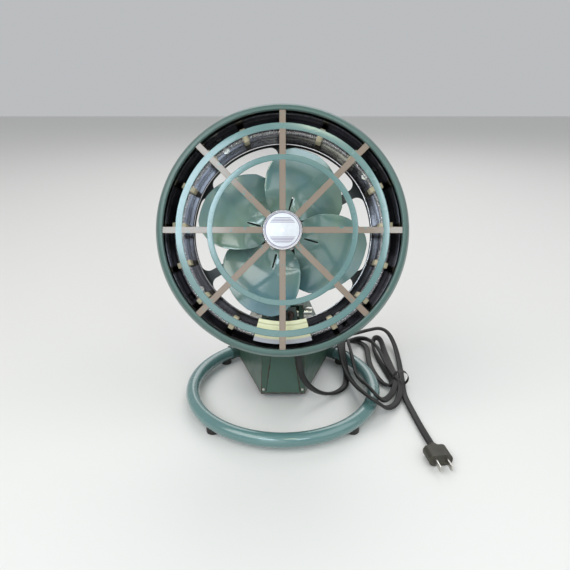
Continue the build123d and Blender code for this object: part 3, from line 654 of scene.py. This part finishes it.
# the blades' yellow-green faded tone is partly real tarnish and partly a painted reflection
bladePaint = enamel("bladePaint", shade(80, 120, 130), shade(142, 158, 112), bareSteel, 0.18, 0.16, 1.0)
dishSteel = darkDish("dishSteel")
coilWire = metal("coilWire", (0.78, 0.77, 0.78, 1), (0.40, 0.38, 0.37, 1), 0.22, stains=0.6)
brightSteel = metal("brightSteel", (0.62, 0.61, 0.58, 1), (0.25, 0.20, 0.15, 1), 0.28, stains=0.5,
                    scale=220.0)
chromeTrim = metal("chromeTrim", (0.82, 0.82, 0.84, 1), (0.5, 0.5, 0.52, 1), 0.10, stains=0.25, scale=120.0)
badgeSilver = stripedPlate("badgeSilver")
firedClay = moulded("firedClay", shade(206, 196, 168), shade(150, 136, 106), 0.7, 130.0, 0.3)
creamBoard = coverBoard("creamBoard")
blackRubber = moulded("blackRubber", shade(21, 20, 19), shade(38, 35, 31), 0.5, 90.0, 0.3)
brownRubber = moulded("brownRubber", shade(66, 46, 36), shade(40, 30, 25), 0.6, 120.0, 0.3)
phenolic = moulded("phenolic", shade(34, 30, 27), shade(20, 18, 17), 0.22, 60.0, 0.04)
plugBlack = moulded("plugBlack", shade(58, 55, 46), shade(36, 34, 30), 0.5, 70.0, 0.3)
castPaint = moulded("castPaint", shade(62, 70, 70), shade(44, 48, 48), 0.42, 60.0, 0.25)
coreStack = banded("coreStack", (0.30, 0.29, 0.28, 1), (0.12, 0.10, 0.09, 1), 0.0012, 0.45, 0.8)
windingWire = banded("windingWire", shade(150, 78, 40), shade(96, 44, 24), 0.0011, 0.35, 0.35)
bronze = metal("bronze", (0.62, 0.44, 0.20, 1), (0.30, 0.20, 0.10, 1), 0.3)
print("materials made")


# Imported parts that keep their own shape
kept = {
    "ring_straps": deepShadedPaint, "rubber_feet": blackRubber, "cover_screws": brightSteel,
    "switch_body": phenolic, "switch_nut": brightSteel, "pivot_bolt": brightSteel, "pivot_nut": brightSteel,
    "bevel_washers": brightSteel, "cheek_spacers": brightSteel, "pedestal_shell": shadedFootPaint,
    "front_panel": shadedPanelPaint, "pedestal_cover": deepShadedPaint, "cord_bushing": blackRubber,
    "cord_tie": blackRubber, "plug_body": plugBlack, "plug_blades": brightSteel, "cord_lead": blackRubber,
    "cord_hank": blackRubber, "cord_tail": blackRubber, "ring_base": tealPaint, "drum": shadedDrumPaint,
    "rear_spider": shadedSpiderPaint, "front_grille": tealPaint, "rim_screws": brightSteel,
    "badge_rim": chromeTrim, "badge_plate": badgeSilver, "heat_reflector": dishSteel,
    "reflector_posts": brightSteel, "reflector_screws": brightSteel, "reflector_nuts": brightSteel,
    "ceramic_blocks": firedClay, "heating_coil_inner": coilWire, "heating_coil_outer": coilWire,
    "terminal_cover": creamBoard, "terminal_posts": brightSteel, "heater_leads": brownRubber,
    "lead_grommet": brownRubber, "tilt_bracket": deepShadedPaint, "bracket_screws": brightSteel,
    "bracket_nuts": brightSteel, "motor_front_bell": castPaint, "motor_rear_bell": castPaint,
    "stator_core": coreStack, "stator_windings": windingWire, "shaft_bushes": bronze,
    "motor_studs": brightSteel, "stud_nuts": brightSteel, "ear_spacer": brightSteel,
    "motor_shaft": brightSteel, "rotor_core": coreStack, "fan_hub": brightSteel,
    "hub_grub_screw": brightSteel, "fan_blades": bladePaint, "blade_rivets": brightSteel,
    "switch_knob": phenolic, "switch_spindle": brightSteel,
}
for name, material in kept.items():
    part = nodes[name]
    part.data.materials.clear()
    part.data.materials.append(material)
    part.data.polygons.foreach_set("use_smooth", [True] * len(part.data.polygons))
    weld = part.modifiers.new("weld", "WELD")
    weld.merge_threshold = 1e-6
    split = part.modifiers.new("sharpEdges", "EDGE_SPLIT")
    split.split_angle = math.radians(32)
    split.use_edge_sharp = False
print("packed parts painted")


# Cord: a line laid through points in mm, with a twin section swept along it
cord = {"width": 7.0, "lobe": 2.15, "lobeOffset": 1.95, "twist": 2.2, "gap": 0.3}
cordRoute = [
    (19.15, -17.5, 87.2), (20.7, -33, 60.3), (25.5, -31.5, 42), (35.5, -26, 25.5), (49, -18.5, 12.5),
    (64, -9.5, 5.4), (77.5, 1, 4.2), (86.5, 15, 4.6), (89, 36, 9), (87, 60, 21), (86.5, 82, 31),
    (91, 106, 29), (98, 129, 14), (108, 143, 5.5), (120, 143, 4.4), (129, 128, 4.4), (128, 103, 4.4),
    (126, 74, 4.2), (130, 43, 4.2), (137, 20, 4.2), (146, 12, 4.2), (151.5, 24, 4.2), (148, 46, 4.2),
    (143, 76, 4.2), (139, 104, 4.6), (138, 128, 9), (144, 144, 13), (152.5, 138, 12), (154, 112, 5),
    (156.5, 70, 4.2), (157.5, 34, 6), (154, 12, 10.5), (147, -9, 10.5), (138.5, -24, 9.5), (127, -41, 15),
    (117, -50, 29), (108, -30, 32), (102, 0, 22), (99.5, 26, 19), (98, 50, 27), (96.5, 76, 32),
    (96.5, 96, 28), (99, 114, 20), (106, 133, 12), (118, 145, 10), (131, 144, 10), (141, 127, 10.5),
    (146, 100, 10.5), (149, 68, 10), (153, 36, 10.5), (160, 12, 9.5), (155.8, -11, 8.5), (146.5, -34, 5.5),
    (131, -50, 9), (116.5, -61.5, 27), (104.5, -54, 31.5), (96.5, -20, 22), (91, 20, 13), (86, 46, 16),
    (83, 68, 27), (82.5, 88, 31.5), (87, 106, 27), (93, 126, 20), (102, 146, 15), (117, 157, 13),
    (136, 158, 18), (153, 158, 22), (165, 151, 19), (171.5, 130, 11), (172.3, 96, 4.6), (169, 58, 4.2),
    (165, 24, 4.2), (161.6, -2, 4.2), (161.3, -20, 4.2), (164, -48, 4.2), (167.8, -85, 4.2),
    (171.8, -120, 6.2)]


def cordLine():
    # The smooth line of the route, without points that lie almost on each other.
    curve = bpy.data.curves.new("cordLine", "CURVE")
    curve.dimensions = "3D"
    curve.resolution_u = 12
    spline = curve.splines.new("NURBS")
    spline.points.add(len(cordRoute) - 1)
    for point, place in zip(spline.points, cordRoute):
        point.co = (*place, 1)
    spline.order_u = 3
    spline.use_endpoint_u = True
    holder = bpy.data.objects.new("cordLine", curve)
    bpy.context.scene.collection.objects.link(holder)
    graph = bpy.context.evaluated_depsgraph_get()
    points = [v.co.copy() for v in bpy.data.meshes.new_from_object(holder.evaluated_get(graph)).vertices]
    bpy.data.objects.remove(holder)
    line = points[:1]
    for point in points[1:]:
        if (point - line[-1]).length > cord["gap"]:
            line.append(point)
    return line


def twinLobes():
    # Section of a two-core flex: two round lobes with a groove between them.
    section = []
    for side in (1, -1):
        for k in range(9):
            angle = math.radians(-112 + 224 * k / 8)
            outward = cord["lobeOffset"] + cord["lobe"] * math.cos(angle)
            section.append((side * outward, side * cord["lobe"] * math.sin(angle)))
    return section


cordPath = cordLine()
rings = []
across = Vector((1, 0, 0))
section = twinLobes()
for k, place in enumerate(cordPath):
    ahead = (cordPath[min(k + 1, len(cordPath) - 1)] - cordPath[max(k - 1, 0)]).normalized()
    across = (across - ahead * across.dot(ahead)).normalized()
    lift = ahead.cross(across)
    # two slow waves turn the strand a little, so its groove wanders
    turn = cord["twist"] * math.sin(k * 0.011) * math.sin(k * 0.0037 + 0.4)
    side = across * math.cos(turn) + lift * math.sin(turn)
    upward = ahead.cross(side)
    rings.append([tuple(place + side * u + upward * v) for u, v in section])
cordMesh = loftedMesh("cord", rings, tableFrame, 80)
cordMesh.materials.append(blackRubber)
cordPiece = addPiece("cord", cordMesh, "stand", ("cord_lead", "cord_hank", "cord_tail"))
cordLength = sum((b - a).length for a, b in zip(cordPath, cordPath[1:])) / 1000
print("cord laid, metres:", round(cordLength, 3))


# Ring stand
ringStand = {"radius": 119.5, "tube": 8.75, "height": 13.75, "sides": 40}
tubeAngles = [2 * math.pi * k / ringStand["sides"] for k in range(ringStand["sides"])]
outline = [(ringStand["radius"] + ringStand["tube"] * math.cos(a),
            ringStand["height"] + ringStand["tube"] * math.sin(a)) for a in tubeAngles]
upright = tableFrame @ Matrix.Rotation(math.radians(90), 4, "X")
ringMesh = turnedMesh("ringStand", outline, 256, upright)
ringMesh.materials.append(tealPaint)
addPiece("ringStand", ringMesh, "stand", ("ring_base",))


# Grille: bezel, two rings, spokes and the disc in the middle
grille = {"lip": 131.8, "depth": 2.0, "wall": 1.2, "spokeWidth": 7.0, "spokeStart": 10, "spokes": 8,
          "rings": ((79.7, 6.6), (113.7, 7.4)), "frontEdge": 0.45, "backEdge": 0.2, "disc": 22.0,
          "bezel": [(131.2, 5.0), (131.2, 0.0), (136.4, 0.8), (140.0, 8.5), (140.0, 26.0)],
          "bends": [1.4, 4.0, 5.0]}
front, back = grille["depth"], grille["depth"] + grille["wall"]
bezelPath = smoothPath(grille["bezel"], grille["bends"], 8)
bezel = turnedMesh("bezel", sheetOutline(bezelPath, grille["wall"]), 256)
flats = [bezel]
for radius, width in grille["rings"]:
    inner, outer = radius - width / 2, radius + width / 2
    soft, low = grille["frontEdge"], grille["backEdge"]
    flats.append(turnedMesh("band", [
        (inner + soft, front - 0.05), (radius, front - 0.12), (outer - soft, front - 0.05),
        (outer, front + soft), (outer, back - low), (outer - low, back), (inner + low, back),
        (inner, back - low), (inner, front + soft)], 200))
flats.append(turnedMesh("hubDisc", [
    (0.01, front), (grille["disc"], front), (grille["disc"], back), (0.01, back)], 96))
reach = grille["lip"] - grille["spokeStart"]
spokeBar = roundedBox(reach, grille["wall"] + 0.1, grille["spokeWidth"], 0.25,
                      (grille["spokeStart"] + reach / 2, grille["depth"] + grille["wall"] / 2, 0), 1)
spokeAngles = (grille["spokes"], 0, 360 / grille["spokes"])
flats.append(copiesRound("spokes", spokeBar, spokeAngles, tealPaint, headFrame, 50))
grilleMesh = joined("frontGrille", flats)
grilleMesh.materials.clear()
grilleMesh.materials.append(tealPaint)
grilleMesh.materials.append(shadedBezelPaint)
# the bezel's faces come first, and take the second material
slots = [1 if k < len(bezel.polygons) else 0 for k in range(len(grilleMesh.polygons))]
grilleMesh.polygons.foreach_set("material_index", slots)
shadeMesh(grilleMesh, 40)
addPiece("frontGrille", grilleMesh, "head", ("front_grille",))
print("grille made")


# Heating wires
heater = {"wires": (("innerWire", "heating_coil_inner", 114.6), ("outerWire", "heating_coil_outer", 121.9)),
          "coil": 2.35, "wire": 0.34, "depth": 33.5, "gap": 15.5, "pitch": 1.55, "pointsPerTurn": 11}
first, last = math.radians(-90 + heater["gap"]), math.radians(270 - heater["gap"])
for name, node, radius in heater["wires"]:
    turns = radius * (last - first) / heater["pitch"]
    wireMesh = grown(name, woundWire, {
        "Bend radius": radius, "Coil radius": heater["coil"], "Wire radius": heater["wire"],
        "Depth": heater["depth"], "First angle": first, "Last angle": last, "Turns": turns,
        "Points": int(turns * heater["pointsPerTurn"]), "Material": coilWire}, headFrame, 60)
    addPiece(name, wireMesh, "head", (node,))
print("heating wires wound")


# Ceramic blocks: a body, a foot behind it and a cap in front
block = {"inner": 110.5, "outer": 126.0, "thick": 6.5, "front": 29.0, "height": 9.0,
         "count": 15, "first": -61.3, "step": 21.62, "foot": (6.5, 10.5), "cap": (9.0, 1.4)}
body = roundedBox(block["outer"] - block["inner"], block["height"], block["thick"], 0.9,
                  ((block["inner"] + block["outer"]) / 2, block["front"] + block["height"] / 2, 0), 3)
blockFoot = roundedBox(*block["foot"], block["thick"] - 0.1, 0.7,
                       (block["inner"] + 3.25, block["front"] + block["height"] + 4.2, 0), 2)
cap = roundedBox(*block["cap"], block["thick"] - 1.6, 0.6, (block["inner"] + 6.0, block["front"] - 0.3, 0), 2)
blockMesh = copiesRound("ceramicBlocks", joined("block", [body, blockFoot, cap]),
                        (block["count"], block["first"], block["step"]), firedClay)
addPiece("ceramicBlocks", blockMesh, "head", ("ceramic_blocks",))


# Fan blades: the outline's rows are radius, rear angle and front angle
blade = {"wall": 1.0, "depth": 38.0, "twist": 0.33, "root": 26, "slitInner": 26.0, "slitOuter": 42.5,
         "slitHalf": 0.9, "columns": 14, "angles": (4, 74, 90),
         "outline": [(16, -33, 33), (20, -37, 38), (24, -40, 42), (28, -44, 45), (32, -47, 46),
                     (42, -56, 43), (52, -60, 39), (61, -60, 35), (69, -57, 31.5), (77, -50, 27.5),
                     (84, -39, 23), (90, -28, 18.5), (95, -18, 14), (98, -9, 8)]}


def bladeEdge(radius, which):
    rows = blade["outline"]
    for before, after in zip(rows, rows[1:]):
        if radius <= after[0]:
            share = (radius - before[0]) / (after[0] - before[0])
            return before[which] + (after[which] - before[which]) * share
    return rows[-1][which]


def bladeMesh():
    radii = [16, 18, 20, 22, 24, 26] + [26 + 1.5 * k for k in range(1, 12)] + [45 + 2 * k for k in range(20)]
    radii += [85.5, 87.5, 89.5, 91.5, 93, 94.5, 95.8, 96.8, 97.5, 98]
    half = blade["columns"]
    grid = []
    for radius in radii:
        notch = math.degrees(blade["slitHalf"] / radius)
        rear, front = bladeEdge(radius, 1), bladeEdge(radius, 2)
        angles = [rear + (-notch - rear) * k / half for k in range(half + 1)]
        angles += [notch + (front - notch) * k / half for k in range(half + 1)]
        # the twist comes in softly between the root and twice its radius
        share = min(max((radius - blade["root"]) / blade["root"], 0), 1)
        twist = blade["twist"] * share * share * (3 - 2 * share)
        turned = [(math.cos(math.radians(a)), math.sin(math.radians(a)), a) for a in angles]
        grid.append([(radius * c, blade["depth"] - twist * a, radius * s) for c, s, a in turned])
    points, faces = [p for row in grid for p in row], []
    columns = len(grid[0])
    for r in range(len(radii) - 1):
        inSlit = radii[r] >= blade["slitInner"] - 0.1 and radii[r + 1] <= blade["slitOuter"] + 0.1
        for k in range(columns - 1):
            if k == half and inSlit:
                continue
            near, far = r * columns + k, (r + 1) * columns + k
            faces.append((near, far, far + 1, near + 1))
    mesh = meshFrom("blade", points, faces, Matrix.Identity(4), 60)
    holder = bpy.data.objects.new("bladeMaker", mesh)
    bpy.context.scene.collection.objects.link(holder)
    wall = holder.modifiers.new("wall", "SOLIDIFY")
    wall.thickness = blade["wall"]
    wall.offset = 0
    rounded = holder.modifiers.new("edge", "BEVEL")
    rounded.width = 0.3
    rounded.segments = 2
    rounded.limit_method = "ANGLE"
    graph = bpy.context.evaluated_depsgraph_get()
    result = bpy.data.meshes.new_from_object(holder.evaluated_get(graph))
    bpy.data.objects.remove(holder)
    return shadeMesh(result, 40)


bladesMesh = copiesRound("fanBlades", bladeMesh(), blade["angles"], bladePaint, headFrame, 45)
addPiece("fanBlades", bladesMesh, "fan", ("fan_blades",))
print("fan made")


# Rivets at the foot of the pedestal
rivet = {"radius": 1.9, "height": 1.0, "sunk": 0.9, "across": 25.6, "up": 14.5, "front": -13.9, "steps": 6}
dome = [(0.01, 0.0)]
for k in range(1, rivet["steps"] + 1):
    angle = math.pi / 2 * k / rivet["steps"]
    dome.append((rivet["radius"] * math.sin(angle), rivet["height"] * (1 - math.cos(angle))))
dome += [(rivet["radius"], rivet["height"] + rivet["sunk"]), (0.01, rivet["height"] + rivet["sunk"])]
for name, side in (("leftRivet", -1), ("rightRivet", 1)):
    seat = Matrix.Translation((side * rivet["across"], rivet["front"], rivet["up"]))
    rivetMesh = turnedMesh(name, dome, 40, tableFrame @ seat)
    rivetMesh.materials.append(brightSteel)
    addPiece(name, rivetMesh, "stand")


# Floor
floorMesh = bpy.data.meshes.new("floor")
floorMesh.from_pydata([(-4, -4, 0), (4, -4, 0), (4, 4, 0), (-4, 4, 0)], [], [(0, 1, 2, 3)])
floorMaterial, _, floorShader = newMaterial("floorPaint")
floorShader.inputs["Base Color"].default_value = (0.72, 0.71, 0.69, 1)
floorShader.inputs["Roughness"].default_value = 0.55
floorMesh.materials.append(floorMaterial)
floorObject = bpy.data.objects.new("floor", floorMesh)
bpy.context.scene.collection.objects.link(floorObject)
